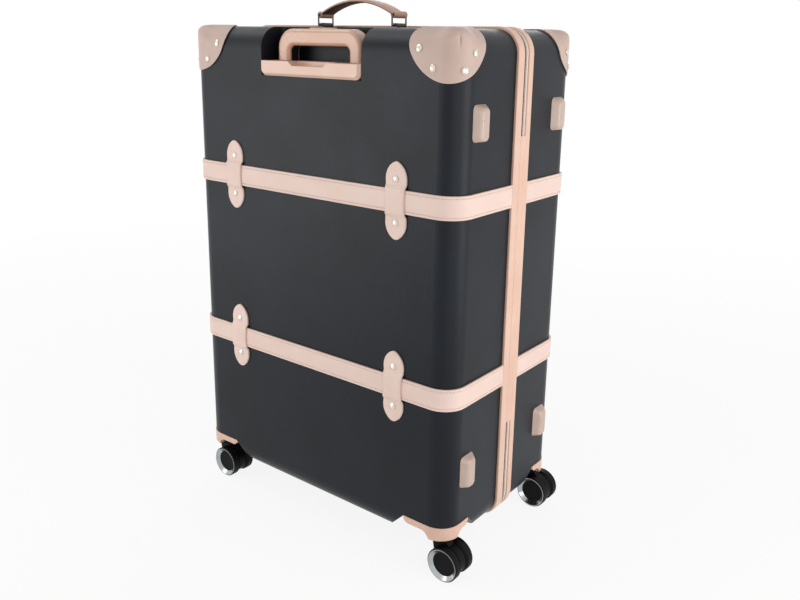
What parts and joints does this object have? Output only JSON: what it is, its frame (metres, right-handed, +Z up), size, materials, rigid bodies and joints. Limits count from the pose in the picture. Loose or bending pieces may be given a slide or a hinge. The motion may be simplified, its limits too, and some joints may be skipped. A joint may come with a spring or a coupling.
{
  "type": "trolley suitcase",
  "caption": "Trunk-style hard-shell trolley suitcase with leather straps and corner caps, a pull-out grip, carry handles and swivelling twin-wheel casters.",
  "frame": {"origin": "on the floor under the middle of the whole object's box", "axes": "+Z up; -Y out of the back, where the trolley grip is; +X towards the leather hinge; -X towards the lock and side handle"},
  "size_m": [0.5364, 0.2934, 0.758],
  "materials": {
    "embossed_shell_plastic": "satin",
    "pink_leather": "matte",
    "cap_leather": "matte",
    "peach_trim": "satin",
    "rose_gold_plastic": "gloss",
    "foot_plastic": "satin",
    "zip_tape": "matte",
    "bright_rivet": "gloss",
    "dark_wire": "gloss",
    "drawn_aluminium": "satin",
    "axle_steel": "satin",
    "tyre_rubber": "satin",
    "fork_plastic": "satin",
    "ring_metal": "gloss",
    "lining_cloth": "matte",
    "cover_board": "matte",
    "bracket_plastic": "matte",
    "dial_plastic": "gloss",
    "lock_metal": "gloss"
  },
  "bodies": {
    "rear_half": {"rear_shell": "embossed_shell_plastic", "rear_rim": "peach_trim", "rear_zip": "zip_tape", "hinge_strip": "peach_trim", "rear_belts": "pink_leather", "rear_keepers": "pink_leather", "rear_rivets": "bright_rivet", "rear_corner_caps": "cap_leather", "rear_side_feet": "foot_plastic", "rear_wheel_housings": "rose_gold_plastic", "trolley_bezel": "rose_gold_plastic", "trolley_outer_tubes": "drawn_aluminium", "trolley_bracket": "bracket_plastic", "trolley_cover": "cover_board", "rear_lining": "lining_cloth", "handle_saddles": "dark_wire", "lock_case": "lock_metal"},
    "front_half": {"front_shell": "embossed_shell_plastic", "front_rim": "peach_trim", "front_zip": "zip_tape", "front_belts": "pink_leather", "front_keepers": "pink_leather", "front_rivets": "bright_rivet", "front_corner_caps": "cap_leather", "front_side_feet": "foot_plastic", "front_wheel_housings": "rose_gold_plastic", "front_lining": "lining_cloth"},
    "trolley_middle": {"trolley_middle_tubes": "drawn_aluminium"},
    "trolley_top": {"trolley_inner_tubes": "drawn_aluminium", "trolley_grip": "rose_gold_plastic"},
    "trolley_button": {"trolley_button": "rose_gold_plastic"},
    "top_loop_zip_side": {"top_loop_zip_side": "dark_wire"},
    "top_strap": {"top_strap": "pink_leather"},
    "top_loop_hinge_side": {"top_loop_hinge_side": "dark_wire"},
    "side_loop_lower": {"side_loop_lower": "dark_wire"},
    "side_strap": {"side_strap": "pink_leather"},
    "side_loop_upper": {"side_loop_upper": "dark_wire"},
    "lock_dial_1": {"lock_dial_1": "dial_plastic"},
    "lock_dial_2": {"lock_dial_2": "dial_plastic"},
    "lock_dial_3": {"lock_dial_3": "dial_plastic"},
    "lock_button": {"lock_button": "dial_plastic"},
    "zip_slider_upper": {"zip_slider_upper": "bright_rivet"},
    "zip_slider_lower": {"zip_slider_lower": "bright_rivet"},
    "caster_rear_zip_swivel": {"caster_rear_zip_fork": "fork_plastic", "caster_rear_zip_axle": "axle_steel"},
    "caster_rear_zip_wheels": {"caster_rear_zip_wheels": "tyre_rubber", "caster_rear_zip_rings": "ring_metal"},
    "caster_rear_hinge_swivel": {"caster_rear_hinge_fork": "fork_plastic", "caster_rear_hinge_axle": "axle_steel"},
    "caster_rear_hinge_wheels": {"caster_rear_hinge_wheels": "tyre_rubber", "caster_rear_hinge_rings": "ring_metal"},
    "caster_front_zip_swivel": {"caster_front_zip_fork": "fork_plastic", "caster_front_zip_axle": "axle_steel"},
    "caster_front_zip_wheels": {"caster_front_zip_wheels": "tyre_rubber", "caster_front_zip_rings": "ring_metal"},
    "caster_front_hinge_swivel": {"caster_front_hinge_fork": "fork_plastic", "caster_front_hinge_axle": "axle_steel"},
    "caster_front_hinge_wheels": {"caster_front_hinge_wheels": "tyre_rubber", "caster_front_hinge_rings": "ring_metal"}
  },
  "joints": [
    {"name": "lid_hinge", "type": "hinge", "parent": "rear_half", "child": "front_half", "pos_m": [0.25385, 0.004, 0.385], "axis": [0, 0, -1], "range_deg": [0, 150], "deforming": ["hinge_strip"]},
    {"name": "trolley_lower_slide", "type": "slide", "parent": "rear_half", "child": "trolley_middle", "axis": [0, 0, 1], "range_m": [0, 0.18]},
    {"name": "trolley_upper_slide", "type": "slide", "parent": "trolley_middle", "child": "trolley_top", "axis": [0, 0, 1], "range_m": [0, 0.18]},
    {"name": "trolley_button_press", "type": "slide", "parent": "trolley_top", "child": "trolley_button", "axis": [0, 0, -1], "range_m": [0, 0.003], "stiffness_N_per_m": 600, "springref_m": -0.002},
    {"name": "top_loop_zip_side_swing", "type": "hinge", "parent": "rear_half", "child": "top_loop_zip_side", "pos_m": [-0.05725, -0.036, 0.7235], "axis": [0, 1, 0], "range_deg": [-50, 50]},
    {"name": "top_strap_swing", "type": "hinge", "parent": "top_loop_zip_side", "child": "top_strap", "pos_m": [-0.05725, -0.036, 0.7375], "axis": [0, 1, 0], "range_deg": [-50, 50]},
    {"name": "top_loop_hinge_side_swing", "type": "hinge", "parent": "rear_half", "child": "top_loop_hinge_side", "pos_m": [0.07675, -0.036, 0.7235], "axis": [0, 1, 0], "range_deg": [-50, 50]},
    {"name": "side_loop_lower_swing", "type": "hinge", "parent": "rear_half", "child": "side_loop_lower", "pos_m": [-0.23375, -0.064, 0.318], "axis": [0, 1, 0], "range_deg": [-50, 50]},
    {"name": "side_strap_swing", "type": "hinge", "parent": "side_loop_lower", "child": "side_strap", "pos_m": [-0.24775, -0.064, 0.318], "axis": [0, 1, 0], "range_deg": [-50, 50]},
    {"name": "side_loop_upper_swing", "type": "hinge", "parent": "rear_half", "child": "side_loop_upper", "pos_m": [-0.23375, -0.064, 0.452], "axis": [0, 1, 0], "range_deg": [-50, 50]},
    {"name": "lock_dial_1_spin", "type": "hinge", "parent": "rear_half", "child": "lock_dial_1", "pos_m": [-0.23515, -0.041, 0.608], "axis": [0, 0, 1], "continuous": true},
    {"name": "lock_dial_2_spin", "type": "hinge", "parent": "rear_half", "child": "lock_dial_2", "pos_m": [-0.23515, -0.041, 0.617], "axis": [0, 0, 1], "continuous": true},
    {"name": "lock_dial_3_spin", "type": "hinge", "parent": "rear_half", "child": "lock_dial_3", "pos_m": [-0.23515, -0.041, 0.626], "axis": [0, 0, 1], "continuous": true},
    {"name": "lock_button_press", "type": "slide", "parent": "rear_half", "child": "lock_button", "axis": [1, 0, 0], "range_m": [0, 0.0012], "stiffness_N_per_m": 800, "springref_m": -0.001},
    {"name": "zip_slider_upper_run", "type": "slide", "parent": "rear_half", "child": "zip_slider_upper", "axis": [0, 0, 1], "range_m": [0, 0.05]},
    {"name": "zip_slider_lower_run", "type": "slide", "parent": "rear_half", "child": "zip_slider_lower", "axis": [0, 0, -1], "range_m": [0, 0.48]},
    {"name": "caster_rear_zip_swivel_turn", "type": "hinge", "parent": "rear_half", "child": "caster_rear_zip_swivel", "pos_m": [-0.20925, -0.12, 0.055], "axis": [0, 0, 1], "continuous": true},
    {"name": "caster_rear_zip_wheels_spin", "type": "hinge", "parent": "caster_rear_zip_swivel", "child": "caster_rear_zip_wheels", "pos_m": [-0.19375, -0.12, 0.024], "axis": [0, 1, 0], "continuous": true},
    {"name": "caster_rear_hinge_swivel_turn", "type": "hinge", "parent": "rear_half", "child": "caster_rear_hinge_swivel", "pos_m": [0.22875, -0.12, 0.055], "axis": [0, 0, 1], "continuous": true},
    {"name": "caster_rear_hinge_wheels_spin", "type": "hinge", "parent": "caster_rear_hinge_swivel", "child": "caster_rear_hinge_wheels", "pos_m": [0.24425, -0.12, 0.024], "axis": [0, 1, 0], "continuous": true},
    {"name": "caster_front_zip_swivel_turn", "type": "hinge", "parent": "front_half", "child": "caster_front_zip_swivel", "pos_m": [-0.20925, 0.12, 0.055], "axis": [0, 0, 1], "continuous": true},
    {"name": "caster_front_zip_wheels_spin", "type": "hinge", "parent": "caster_front_zip_swivel", "child": "caster_front_zip_wheels", "pos_m": [-0.19375, 0.12, 0.024], "axis": [0, 1, 0], "continuous": true},
    {"name": "caster_front_hinge_swivel_turn", "type": "hinge", "parent": "front_half", "child": "caster_front_hinge_swivel", "pos_m": [0.22875, 0.12, 0.055], "axis": [0, 0, 1], "continuous": true},
    {"name": "caster_front_hinge_wheels_spin", "type": "hinge", "parent": "caster_front_hinge_swivel", "child": "caster_front_hinge_wheels", "pos_m": [0.24425, 0.12, 0.024], "axis": [0, 1, 0], "continuous": true}
  ],
  "couplings": [
    {"joint": "top_strap_swing", "follows": "top_loop_zip_side_swing", "ratio": -1},
    {"joint": "top_loop_hinge_side_swing", "follows": "top_loop_zip_side_swing", "ratio": 1},
    {"joint": "side_strap_swing", "follows": "side_loop_lower_swing", "ratio": -1},
    {"joint": "side_loop_upper_swing", "follows": "side_loop_lower_swing", "ratio": 1}
  ]
}
